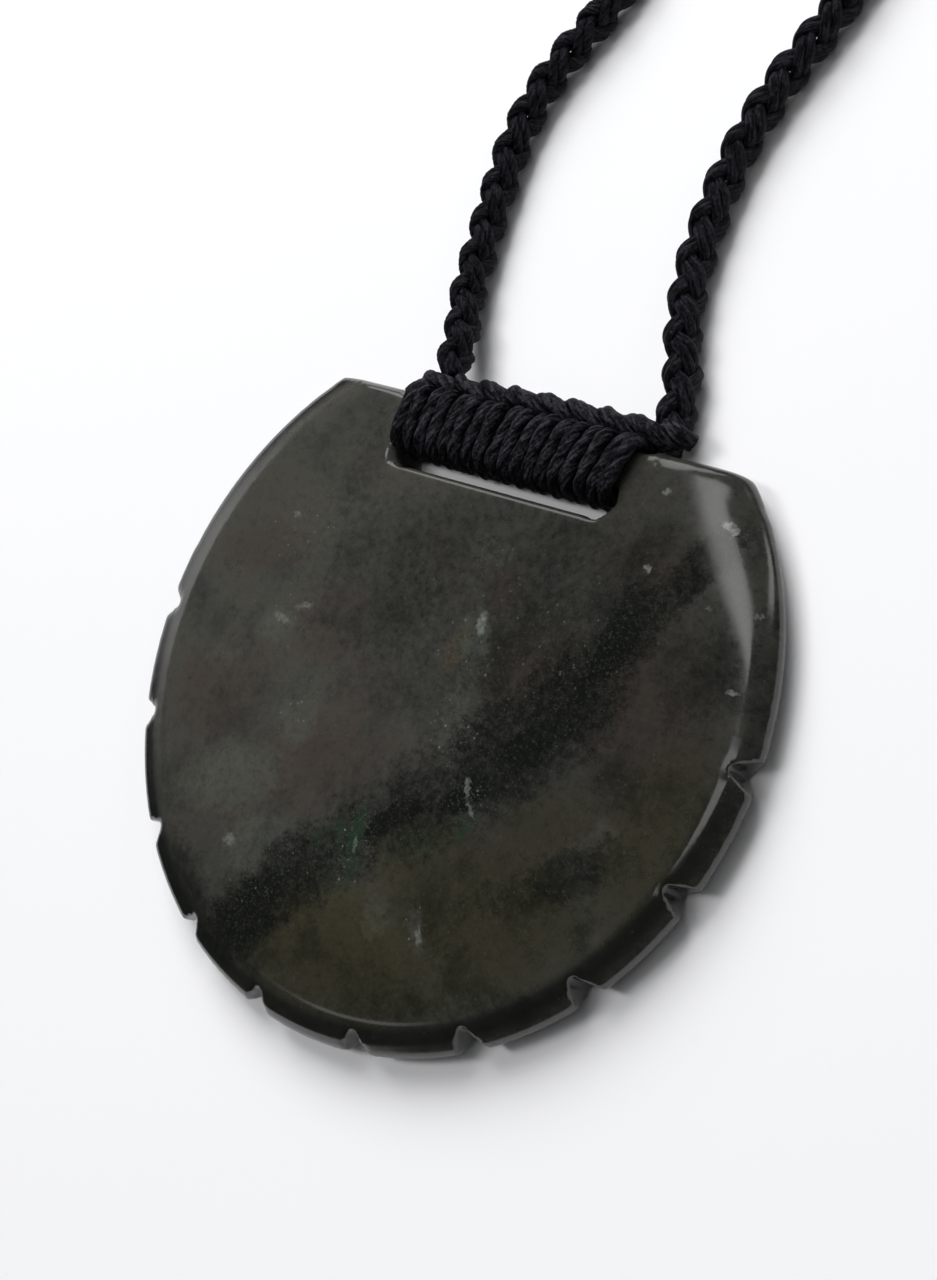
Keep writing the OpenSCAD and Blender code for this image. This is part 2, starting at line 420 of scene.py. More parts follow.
# Olive areas towards the bottom and the right of the rim
OLIVE = (
    Patch(2.0, -19.0, 10.0, 4.6, 6, 1.0), Patch(11.4, -13.6, 7.6, 5.2, 25, 0.95),
    Patch(20.6, -5.0, 3.4, 6.4, -10, 0.85), Patch(6.0, -12.0, 4.2, 3.4, 30, 0.8),
    Patch(13.6, -6.6, 4.0, 2.4, 30, 0.6),
)

# Grey-green felted light patches
HAZE = (
    Patch(-8.0, -6.2, 2.0, 2.2, 20, 0.75), Patch(-13.0, -0.3, 2.2, 1.5, 15, 0.75),
    Patch(-16.4, -3.4, 2.2, 1.3, 20, 0.5), Patch(-11.8, -11.2, 5.4, 2.8, 22, 0.8),
    Patch(-8.0, -14.4, 3.2, 2.0, 40, 0.6), Patch(-11.4, 1.6, 1.6, 0.9, 20, 0.5),
    Patch(-13.0, 7.6, 4.6, 2.6, 0, 0.3), Patch(4.4, -1.4, 1.5, 4.4, 8, 0.5),
    Patch(3.2, 3.0, 1.4, 2.4, 12, 0.9), Patch(2.2, 8.6, 1.7, 0.9, 0, 0.4),
    Patch(7.3, -6.6, 1.1, 0.5, -50, 0.8), Patch(17.0, -6.2, 2.2, 0.6, 30, 0.4),
    Patch(-1.4, 4.0, 2.0, 4.0, 30, 0.3), Patch(4.0, -16.0, 1.0, 2.0, 20, 0.5),
    Patch(7.4, -15.6, 0.8, 1.8, 25, 0.6), Patch(0.8, -13.2, 0.7, 1.8, 10, 0.5),
)

# Moss-green flecks in and beside the vein
MOSS = (
    Patch(0.2, -11.6, 0.7, 2.4, 8, 1.0), Patch(-1.2, -11.6, 1.0, 0.7, 0, 0.8),
    Patch(0.9, -13.8, 0.7, 1.5, -10, 0.8), Patch(-2.6, -12.6, 1.1, 0.8, 40, 0.7),
    Patch(8.0, -8.8, 1.5, 0.6, 70, 0.8), Patch(12.4, -6.8, 2.4, 0.6, 20, 0.5),
    Patch(-7.8, -5.4, 0.9, 0.8, 0, 0.5), Patch(5.2, -10.8, 3.2, 1.3, 30, 0.55),
    Patch(-0.4, -13.6, 2.0, 2.6, 0, 0.5),
)

# Small pale specks, each a little ragged
SPECKS = (
    Patch(17.7, 14.45, 0.46, 0.28, 10, 1.0), Patch(18.15, 14.2, 0.38, 0.28, -20, 0.95),
    Patch(12.8, 15.5, 0.32, 0.22, 30, 0.7), Patch(21.8, 9.6, 0.22, 0.2, 0, 0.6),
    Patch(13.6, 10.45, 0.26, 0.2, 0, 0.7), Patch(18.7, 9.1, 0.22, 0.18, 0, 0.5),
    Patch(22.3, 4.7, 0.34, 0.18, 0, 0.8), Patch(-12.8, 0.1, 0.8, 0.3, -10, 0.45),
    Patch(-11.3, 1.4, 0.7, 0.22, 20, 0.5), Patch(-15.2, 7.3, 0.4, 0.25, 0, 0.5),
    Patch(3.5, 4.0, 0.38, 0.8, 8, 0.75), Patch(7.1, -6.2, 0.22, 0.7, 20, 0.6),
    Patch(7.9, -7.4, 0.7, 0.16, -40, 0.5), Patch(7.6, -15.9, 0.22, 0.6, 20, 0.5),
    Patch(0.4, -12.2, 0.16, 0.5, 10, 0.5), Patch(-9.9, -15.2, 0.55, 0.48, 0, 0.5),
)

# Areas that are strewn with the finest specks
TRAILS = (
    Patch(2.3, 8.5, 1.6, 1.2, 0, 0.9), Patch(0.4, 6.0, 2.4, 1.2, -10, 0.5),
    Patch(3.4, 0.6, 2.2, 5.2, 10, 0.7), Patch(4.6, -2.6, 1.8, 3.0, 0, 0.9),
    Patch(7.4, -6.6, 1.3, 1.5, 0, 0.9), Patch(-12.6, 0.4, 3.4, 2.0, 0, 0.6),
    Patch(-14.0, 6.6, 3.6, 2.4, 20, 0.5), Patch(-8.0, -6.0, 2.6, 2.6, 0, 0.4),
    Patch(0.4, -12.4, 1.6, 3.4, 10, 0.9), Patch(-6.0, -15.6, 4.6, 2.6, 40, 0.5),
    Patch(7.4, -15.8, 1.0, 1.8, 15, 0.8), Patch(9.0, 5.0, 7.0, 5.0, 20, 0.25),
)


@dataclass(frozen=True)
class Face:
    """The values that the stone's layers share, all from the point on the disc in millimetres."""

    board: Board
    place: Signal
    x: Signal
    y: Signal
    frayed: Signal
    ragged: Signal
    felt: Signal
    grain: Signal
    veil: Signal
    trails: Signal

    @classmethod
    def of(cls, board: Board) -> "Face":
        """Works the shared values out.

        Args:
            board: the stone's board.

        Returns:
            The values. The frayed and the ragged point stray widely and finely, which gives patches uneven
            edges, and have 1 as their height. The felt and the grain are the stone's own mottling.
        """
        place = board.place()
        flat = (1.0, 1.0, 0.0), (0.0, 0.0, 1.0)
        frayed = board.vector("MULTIPLY_ADD", board.strayed(place, 0.5, 6.0, 0.66, 1.6), *flat)
        ragged = board.vector("MULTIPLY_ADD", board.strayed(place, 3.0, 2.0, 0.5, 0.35), *flat)
        x, y, _ = board.parts(place)
        felt = board.cloud(place, 1.6, 7.0, 0.78)
        grain = board.cloud(place, 3.6, 3.0, 0.7)
        veil = (felt - 0.5) * 1.7
        return cls(board, place, x, y, frayed, ragged, felt, grain, veil, charted(frayed, TRAILS))


@dataclass(frozen=True)
class Nephrite:
    """Polished dark nephrite: brown-grey clouds, one dark green vein, moss flecks and a few pale specks."""

    grey: Colour = (0.0560, 0.0560, 0.0480)
    brown: Colour = (0.0480, 0.0380, 0.0325)
    olive: Colour = (0.0430, 0.0390, 0.0215)
    dark: Colour = (0.0030, 0.0038, 0.0025)
    haze: Colour = (0.080, 0.086, 0.072)
    moss: Colour = (0.015, 0.029, 0.016)
    ochre: Colour = (0.092, 0.076, 0.045)
    speck: Colour = (0.19, 0.205, 0.18)
    ior: float = 1.62
    swell_depth: float = 0.004 * MM
    felt_depth: float = 0.0004 * MM

    def body(self, face: Face) -> Signal:
        """The stone's brown-grey body, with painted shade that darkens it towards its right and its bottom.

        Args:
            face: the shared values.

        Returns:
            The colour.
        """
        board, x, y = face.board, face.x, face.y
        clouds = board.cloud(face.place, 0.22, 6.0, 0.62)
        brown = charted(face.frayed, BROWN) * 0.8 + clouds.rise(0.45, 0.65) * 0.3
        colour = board.mix(brown, self.grey, self.brown)
        colour = board.mix(charted(face.frayed, OLIVE), colour, self.olive)
        colour = board.mix(OCHRE_SPOT.mask(face.ragged), colour, self.ochre)
        # Painted shade: the face is darkened towards the right and the bottom, away from the light; the
        # dark clouds added next are the stone's own.
        shade_and_clouds = x.rise(-8.0, 14.0, 0.0, 0.40).higher(y.rise(-9.0, -23.0, 0.0, 0.45))
        shade_and_clouds = shade_and_clouds + clouds.rise(0.58, 0.32, 0.0, 0.36)
        mottle = (0.5 - face.grain) * 0.35 + (0.5 - face.felt) * 0.6
        return board.mix(shade_and_clouds + mottle, colour, self.dark)

    def clouded(self, face: Face, colour: Signal) -> Signal:
        """Lays felted light patches and broad dark clouds over the body.

        Args:
            face: the shared values.
            colour: the colour below.

        Returns:
            The colour with them.
        """
        light = (charted(face.frayed, HAZE) + face.veil * 0.8).rise(0.1, 1.4)
        colour = face.board.mix(light * 0.75, colour, self.haze)
        dark = (charted(face.frayed, CLOUDS) - face.veil * 0.7).rise(0.0, 1.2)
        return face.board.mix(dark * 0.85, colour, self.dark)

    def veined(self, face: Face, colour: Signal) -> Signal:
        """Lays the dark vein with its moss and the fine pale flecks over the clouds.

        Args:
            face: the shared values.
            colour: the colour below.

        Returns:
            The colour with them.
        """
        board = face.board
        vein = (charted(face.frayed, VEIN) - face.veil * 0.9).rise(0.0, 0.95)
        colour = board.mix(vein * 0.97, colour, self.dark)
        colour = board.mix((charted(face.ragged, MOSS) + face.veil).rise(0.2, 1.3), colour, self.moss)
        flecks = board.cloud(face.place, 5.0, 3.0, 0.8).rise(0.52, 0.72)
        return board.mix(flecks * (vein * 0.2 + face.trails * 0.5 + 0.12), colour, self.haze)

    def specked(self, face: Face, colour: Signal) -> Signal:
        """Strews the finest specks along their trails, and sets the larger ones.

        Args:
            face: the shared values.
            colour: the colour below.

        Returns:
            The colour with them.
        """
        board = face.board
        dots = board.output("ShaderNodeTexVoronoi", {"feature": "F1"}, {"Vector": face.place, "Scale": 1.9})
        dots = dots.rise(0.22, 0.06) * board.cloud(face.place, 1.1, 2.0).rise(0.48, 0.62)
        colour = board.mix((face.trails + 0.10) * dots * 0.85, colour, self.speck)
        specks = charted(face.ragged, SPECKS) * face.grain.rise(0.3, 0.6, 0.3, 0.9)
        return board.mix(specks, colour, self.speck)

    def material(self) -> bpy.types.Material:
        """Makes the finish, with painted shade: a dark ring inside the lower rim and a dark left side of
        the rim.

        Returns:
            The material.
        """
        board = Board("Nephrite")
        face = Face.of(board)
        colour = self.veined(face, self.clouded(face, self.body(face)))
        radius = (face.x * face.x + face.y * face.y).math("SQRT")
        # Painted shade: the lower bevel inside the rim and the left of the rim are darkened in the colour.
        ring = radius.rise(22.9, 23.7) * radius.rise(24.9, 24.1) * face.y.rise(2.0, -9.0)
        side = radius.rise(23.2, 24.6) * face.x.rise(-8.0, -16.0)
        colour = self.specked(face, board.mix(ring * 0.75 + side * 0.9, colour, self.dark))
        shader = {
            "Base Color": colour,
            "Roughness": face.felt.rise(0.3, 0.8, 0.13, 0.21) - side * 0.05,
            "IOR": self.ior,
        }
        swell = board.cloud(face.place, 0.45, 2.0)
        return board.finish(shader, [(swell, self.swell_depth, 0.5), (face.felt, self.felt_depth, 0.5)])


@dataclass(frozen=True)
class WaxedThread:
    """Black twisted thread: near-black fibres with a soft waxy sheen."""

    name: str
    low: Colour
    high: Colour
    rough: float
    painted_glint: Colour = (0.10, 0.10, 0.12)
    specular: float = 0.16
    fibre_depth: float = 0.09 * MM

    def material(self) -> bpy.types.Material:
        """Makes the finish.

        Returns:
            The material.
        """
        board = Board(self.name)
        uv = board.output("ShaderNodeUVMap", {"uv_map": "UVMap"}, {})
        along, around, _ = board.parts(uv)
        angle = around * TURN
        fibres = board.joined(along * 0.4, angle.math("COSINE") * 0.9, angle.math("SINE") * 0.9)
        strands = board.cloud(fibres, 2.4, 4.0, 0.75)
        fuzz = board.cloud(board.place(), 4.6, 3.0, 0.7)
        tone = (strands.rise(0.42, 0.62) * 0.95 + fuzz.rise(0.42, 0.62) * 0.5 - 0.32).held()
        # Painted highlights: small bright glints on the fibres, mixed into the colour.
        painted_glints = fuzz.rise(0.64, 0.72) * strands.rise(0.5, 0.6)
        shader = {
            "Base Color": board.mix(painted_glints * 0.5, board.mix(tone, self.low, self.high), self.painted_glint),
            "Roughness": strands.rise(0.3, 0.7, self.rough - 0.08, self.rough + 0.1),
            "Specular IOR Level": self.specular,
        }
        return board.finish(shader, [(strands, self.fibre_depth, 1.0), (fuzz, self.fibre_depth, 0.6)])


BOUND_THREAD = WaxedThread("Waxed_thread", (0.0006, 0.0006, 0.0010), (0.040, 0.040, 0.049), rough=0.58)
BRAIDED_THREAD = WaxedThread("Braided_thread", (0.0004, 0.0004, 0.0007), (0.027, 0.025, 0.033), rough=0.64)


def linked(name: str, data: bpy.types.ID) -> bpy.types.Object:
    """Puts new data in the scene.

    Args:
        name: the object's name.
        data: its mesh, curve, light or camera.

    Returns:
        The object, at the origin.
    """
    piece = bpy.data.objects.new(name, data)
    bpy.context.scene.collection.objects.link(piece)
    return piece


def settled(piece: bpy.types.Object) -> bpy.types.Object:
    """Makes a piece's modifiers or curve into its own mesh.

    Args:
        piece: the object, which is removed.

    Returns:
        A mesh object of the same name.
    """
    name = piece.name
    shown = piece.evaluated_get(bpy.context.evaluated_depsgraph_get())
    mesh = bpy.data.meshes.new_from_object(shown)
    bpy.data.objects.remove(piece)
    mesh.name = name
    mesh.polygons.foreach_set("use_smooth", [True] * len(mesh.polygons))
    return linked(name, mesh)


def dressed(piece: bpy.types.Object, finish: bpy.types.Material, slot: Slot,
            *nodes: str) -> bpy.types.Object:
    """Gives a piece its finish and its place in the part.

    Args:
        piece: the piece.
        finish: its material.
        slot: the record's slot for it, which is not used.
        nodes: the nodes that it stands for.

    Returns:
        The piece.
    """
    piece.data.materials.clear()
    piece.data.materials.append(finish)
    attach(piece, BODY)
    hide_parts(*nodes)
    LOG.info("%s: %d faces", piece.name, len(piece.data.polygons))
    return piece


def spaced(points: Sequence[Vector], step: float) -> list[Vector]:
    """Points set evenly along a line.

    Args:
        points: the line's points.
        step: about how far apart the new points are.

    Returns:
        The new points, with both ends kept.
    """
    marks = [0.0]
    for before, after in zip(points, points[1:]):
        marks.append(marks[-1] + (after - before).length)
    count = max(2, round(marks[-1] / step))
    even, at = [], 0
    for i in range(count + 1):
        here = marks[-1] * i / count
        while at < len(points) - 2 and marks[at + 1] < here:
            at += 1
        gap = marks[at + 1] - marks[at]
        even.append(points[at].lerp(points[at + 1], (here - marks[at]) / gap if gap else 0.0))
    return even


def smooth_line(points: Sequence[Vector], step: float) -> list[Vector]:
    """A smooth line through points, which heads at each for the next from the one before.

    Args:
        points: the points that it passes through.
        step: about how far apart the line's own points are.

    Returns:
        The line's points, set evenly.
    """
    line = []
    for i in range(len(points) - 1):
        p0, p1 = points[max(i - 1, 0)], points[i]
        p2, p3 = points[i + 1], points[min(i + 2, len(points) - 1)]
        steps = max(2, round((p2 - p1).length / step))
        for k in range(steps):
            t = k / steps
            line.append(0.5 * (2 * p1 + (p2 - p0) * t + (2 * p0 - 5 * p1 + 4 * p2 - p3) * t * t
                               + (3 * p1 - p0 - 3 * p2 + p3) * t * t * t))
    line.append(points[-1])
    return spaced(line, step)


def ripple(where: float, row: int, size: float = 1.0) -> float:
    """A smooth, repeatable unevenness from about -1 to 1 along a strand.

    Args:
        where: the place along the strand, in its own units.
        row: which unevenness it is, as each strand has its own.
        size: how strong it is.

    Returns:
        The unevenness.
    """
    return size * 2.0 * noise.noise(Vector((where, 17.3 * row + 0.5, 5.1)))


@dataclass(frozen=True)
class Twine:
    """A twisted thread: plies laid round each other, seen as lobes that turn along it."""

    radius: float
    plies: int
    lay: float
    groove: float
    points_per_ply: int = 6

    def outline(self) -> bpy.types.Object:
        """Draws the thread's section.

        Returns:
            A flat curve, a ring of round lobes.
        """
        count = self.plies * self.points_per_ply
        curve = bpy.data.curves.new("thread_section", "CURVE")
        curve.dimensions = "2D"
        ring = curve.splines.new("POLY")
        ring.points.add(count - 1)
        for i, point in enumerate(ring.points):
            angle = TURN * i / count
            lobe = abs(math.cos(self.plies * angle / 2))
            r = self.radius * (1 - self.groove * (1 - lobe))
            point.co = (r * math.cos(angle), r * math.sin(angle), 0, 1)
        ring.use_cyclic_u = True
        return linked("thread_section", curve)

    def lay_line(self, curve: bpy.types.Curve, line: Sequence[Vector],
                 swell: Callable[[float], float]) -> None:
        """Lays the thread along one line, turned as far as its lay asks.

        Args:
            curve: the curve that the line is added to.
            line: the line's points.
            swell: the thickness at a length along the line, as a share of the thread's own.
        """
        spline = curve.splines.new("POLY")
        spline.points.add(len(line) - 1)
        so_far, before = 0.0, line[0]
        for point, here in zip(spline.points, line):
            so_far += (here - before).length
            before = here
            point.co = (*here, 1)
            point.tilt = TURN * so_far / self.lay
            point.radius = swell(so_far)

    def laid(self, name: str, lines: Sequence[Sequence[Vector]],
             swell: Callable[[int, float], float]) -> bpy.types.Object:
        """Sweeps the thread along lines.

        Args:
            name: the piece's name.
            lines: the points of each line.
            swell: the thickness from a line's number and a length along it, as a share of the thread's own.

        Returns:
            A mesh whose UV map runs in millimetres along the thread and once round it.
        """
        section = self.outline()
        curve = bpy.data.curves.new(name, "CURVE")
        curve.dimensions = "3D"
        curve.twist_mode = "MINIMUM"
        curve.bevel_mode = "OBJECT"
        curve.bevel_object = section
        curve.use_fill_caps = True
        curve.use_radius = True
        for number, line in enumerate(lines):
            self.lay_line(curve, line, partial(swell, number))
        piece = settled(linked(name, curve))
        bpy.data.objects.remove(section)
        stretch_map(piece.data, lines[0])
        with edited(piece.data) as bm:
            bmesh.ops.remove_doubles(bm, verts=bm.verts, dist=SEAM_GAP)
            bmesh.ops.recalc_face_normals(bm, faces=bm.faces)
        return piece


def heading(points: Sequence[Vector], i: int) -> Vector:
    """The direction in which a line runs at its point number i."""
    return (points[min(i + 1, len(points) - 1)] - points[max(i - 1, 0)]).normalized()


@contextmanager
def edited(mesh: bpy.types.Mesh) -> Iterator[bmesh.types.BMesh]:
    """Opens a mesh for bmesh operators.

    Args:
        mesh: the mesh, which takes the changes when the block ends.

    Yields:
        The bmesh to work on.
    """
    bm = bmesh.new()
    bm.from_mesh(mesh)
    yield bm
    bm.to_mesh(mesh)
    bm.free()


def stretch_map(mesh: bpy.types.Mesh, line: Sequence[Vector]) -> None:
    """Makes a swept mesh's UV map run in millimetres along its thread.

    Args:
        mesh: the mesh.
        line: the points that it was swept along, about evenly spaced.
    """
    lead = sum((b - a).length for a, b in zip(line[:LEAD_STEPS], line[1:LEAD_STEPS + 1])) / LEAD_STEPS
    length = lead * (len(line) - 1) / MM
    layer = mesh.uv_layers[0]
    layer.name = "UVMap"
    for corner in layer.data:
        corner.uv.x *= length


@dataclass
class StoneDisc:
    """The stone disc, with the worn edges that the solid leaves sharp.

    The lips are the front's edges by the two sides, and the shoulder is the upper right corner. An area's
    passes say how often its points are evened out. The right lip's wear grows from lip_low up to lip_high,
    and the smaller lip_ease is, the more slowly it starts.
    """

    grain: float = 0.215 * MM
    wear_passes: int = 2
    rim_passes: int = 5
    lip_x: float = 11.5 * MM
    lip_top: float = 17.2 * MM
    lip_inner_r: float = 16.5 * MM
    lip_outer_r: float = 25.1 * MM
    notches_top: float = 3 * MM
    notches_inner_r: float = 23.9 * MM
    front_lean: float = 0.5
    lip_passes: int = 140
    lip_low: float = -8 * MM
    lip_high: float = 13 * MM
    lip_ease: float = 0.45
    shoulder_low: Vector = Vector((11.2, 2.5, 1.2)) * MM
    shoulder_inner_r: float = 19 * MM
    shoulder_passes: int = 12
    top_low: float = 15.8 * MM
    top_passes: int = 16

    def build(self, finish: bpy.types.Material) -> bpy.types.Object:
        """Makes the disc.

        Args:
            finish: the stone's material.

        Returns:
            The piece that stands for the disc.
        """
        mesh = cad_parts["disc"].data.copy()
        with edited(mesh) as bm:
            bmesh.ops.remove_doubles(bm, verts=bm.verts, dist=MERGE_GAP)
        rough = linked("stone_disc", mesh)
        remesh = rough.modifiers.new("even_faces", "REMESH")
        remesh.mode = "VOXEL"
        remesh.voxel_size = self.grain
        remesh.use_smooth_shade = True
        piece = settled(rough)
        self.wear(piece.data)
        return dressed(piece, finish, Slot.STONE, "disc")

    def wear(self, mesh: bpy.types.Mesh) -> None:
        """Rounds every edge a little, and lets the right lip and shoulder flow into the face and the bevel.

        Args:
            mesh: the disc's mesh.
        """
        with edited(mesh) as bm:
            self.smooth(bm, list(bm.verts), self.wear_passes)
            bm.normal_update()
            lips = [vert for vert in bm.verts if self.on_lip(vert)]
            self.smooth(bm, lips, self.rim_passes)
            right_lip = [vert for vert in lips if vert.co.x > 0]
            for turn in range(self.lip_passes):
                share = (turn / self.lip_passes) ** self.lip_ease
                low = self.lip_low + (self.lip_high - self.lip_low) * share
                self.smooth(bm, [vert for vert in right_lip if vert.co.y > low], 1)
            shoulder = [vert for vert in bm.verts if self.on_shoulder(vert)]
            self.smooth(bm, [vert for vert in shoulder if vert.co.y > self.top_low], self.top_passes)
            self.smooth(bm, shoulder, self.shoulder_passes)

    def on_lip(self, vert: bmesh.types.BMVert) -> bool:
        """Picks the front's points by a side of the disc, clear of the binding, the notches and the rim.

        Args:
            vert: a point of the disc's mesh.

        Returns:
            Whether it is one of them.
        """
        x, y, _ = vert.co
        outer = self.lip_outer_r if y > self.notches_top else self.notches_inner_r
        return (abs(x) > self.lip_x and self.lip_inner_r < math.hypot(x, y) < outer and y < self.lip_top
                and vert.normal.z > self.front_lean)

    def on_shoulder(self, vert: bmesh.types.BMVert) -> bool:
        """Picks the points by the upper right corner, clear of the binding and the notches.

        Args:
            vert: a point of the disc's mesh.

        Returns:
            Whether it is one of them.
        """
        x, y, z = vert.co
        low = self.shoulder_low
        return x > low.x and y > low.y and z > low.z and math.hypot(x, y) > self.shoulder_inner_r

    @staticmethod
    def smooth(bm: bmesh.types.BMesh, verts: Sequence[bmesh.types.BMVert], passes: int) -> None:
        """Evens out points a number of times.

        Args:
            bm: the mesh.
            verts: the points.
            passes: how many times.
        """
        for _ in range(passes):
            bmesh.ops.smooth_vert(bm, verts=verts, factor=0.5,
                                  use_axis_x=True, use_axis_y=True, use_axis_z=True)


@dataclass
class Binding:
    """The thread bound round the bar above the slot, in pairs of turns that each hitch draws together.

    The inset is half the thickness of the solid's thread. The turns fan out towards the top edge and are
    pinched together there in pairs. They bulge on the front and hang a little below the bar in the slot.
    """

    twine: Twine = Twine(radius=0.53 * MM, plies=3, lay=5.2 * MM, groove=0.20, points_per_ply=8)
    turns: int = 18
    inset: float = 0.485 * MM
    corner_r: float = 0.8 * MM
    corner_steps: int = 6
    step: float = 0.25 * MM
    fan: float = 0.06
    pinch: float = 0.16 * MM
    bulge: float = 0.10 * MM
    hang: float = 0.36 * MM
    middle_x: float = -0.12 * MM
    pitch: float = 1.04 * MM

    def section(self) -> list[Vector]:
        """Works out one turn's path round the bar.

        Returns:
            Its points in y and z, from the back through the slot, up the front and over the top.
        """
        low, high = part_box("binding")
        y_low, z_low = low.y + self.inset - self.hang, low.z + self.inset
        y_high, z_high = high.y - self.inset, high.z - self.inset
        r = self.corner_r
        corners = ((y_high - r, z_low + r, 0), (y_low + r, z_low + r, 270),
                   (y_low + r, z_high - r, 180), (y_high - r, z_high - r, 90))
        points = []
        for y, z, start in corners:
            for step in range(self.corner_steps + 1):
                angle = math.radians(start - 90 * step / self.corner_steps)
                points.append(Vector((0, y + r * math.cos(angle), z + r * math.sin(angle))))
        points.append(points[0].copy())
        return spaced(points, self.step)

    def line(self) -> list[Vector]:
        """Works out the thread's whole path, drawn together in pairs and bulging a little on the front.

        Returns:
            The path's points.
        """
        section = self.section()
        low = min(point.y for point in section)
        high = max(point.y for point in section)
        floor = min(point.z for point in section)
        top = max(point.z for point in section)
        line = []
        for turn in range(self.turns):
            side = 1 if turn % 2 == 0 else -1
            for i, point in enumerate(section[:-1]):
                rise = (point.y - low) / (high - low)
                front = (point.z - floor) / (top - floor)
                x = (turn + i / (len(section) - 1) - self.turns / 2) * self.pitch * (1 + self.fan * rise)
                x += side * self.pinch * rise ** 2 * front
                x += ripple(turn * 1.37 + 0.7 * rise, 1, 0.11 * MM) * front
                bulge = self.bulge * math.sin(math.pi * rise) * (1 + ripple(turn * 1.3, 2, 0.8))
                z = point.z + front * bulge
                line.append(Vector((self.middle_x + x, point.y, z)))
        return line

    def build(self, finish: bpy.types.Material) -> bpy.types.Object:
        """Makes the binding.

        Args:
            finish: the thread's material.

        Returns:
            The piece that stands for the binding.
        """
        piece = self.twine.laid("binding_thread", [self.line()],
                                lambda _, s: 0.97 + ripple(s / (2.5 * MM), 3, 0.05))
        return dressed(piece, finish, Slot.THREAD, "binding")


@dataclass
class HitchedPlait:
    """The row of hitches along the top of the binding: two threads that cross over each other.

    The spread is how far each thread runs from the row's middle, and the tuck how unevenly it winds round
    that. A hitch takes half a winding.
    """

    twine: Twine = Twine(radius=0.66 * MM, plies=3, lay=9.0 * MM, groove=0.24, points_per_ply=6)
    hitch: float = 2.45 * MM
    spread: float = 0.34 * MM
    step: float = 0.14 * MM
    start_turn: float = 0.2
    tuck: float = 0.35

    def threads(self) -> list[list[Vector]]:
        """Works out the two threads' paths.

        Returns:
            The points of each.
        """
        spine = smooth_line([Vector(point) * MM for point in HITCH_ROUTE], self.step)
        lines = [[], []]
        for i, point in enumerate(spine):
            ahead = heading(spine, i)
            above = ahead.cross(Vector((0, -1, 0))).normalized()
            across = above.cross(ahead)
            turn = self.start_turn * TURN + TURN * i * self.step / (2 * self.hitch)
            for number, line in enumerate(lines):
                angle = turn + math.pi * number + self.tuck * math.sin(2 * turn)
                outward = across * math.cos(angle) + above * math.sin(angle)
                line.append(point + outward * self.spread)
        return lines

    def build(self, finish: bpy.types.Material) -> bpy.types.Object:
        """Makes the row of hitches.

        Args:
            finish: the thread's material.

        Returns:
            The piece that stands for the plait.
        """
        piece = self.twine.laid("hitched_row", self.threads(),
                                lambda n, s: 0.98 + ripple(s / (1.4 * MM), n + 21, 0.07))
        return dressed(piece, finish, Slot.THREAD, "hitched_plait")


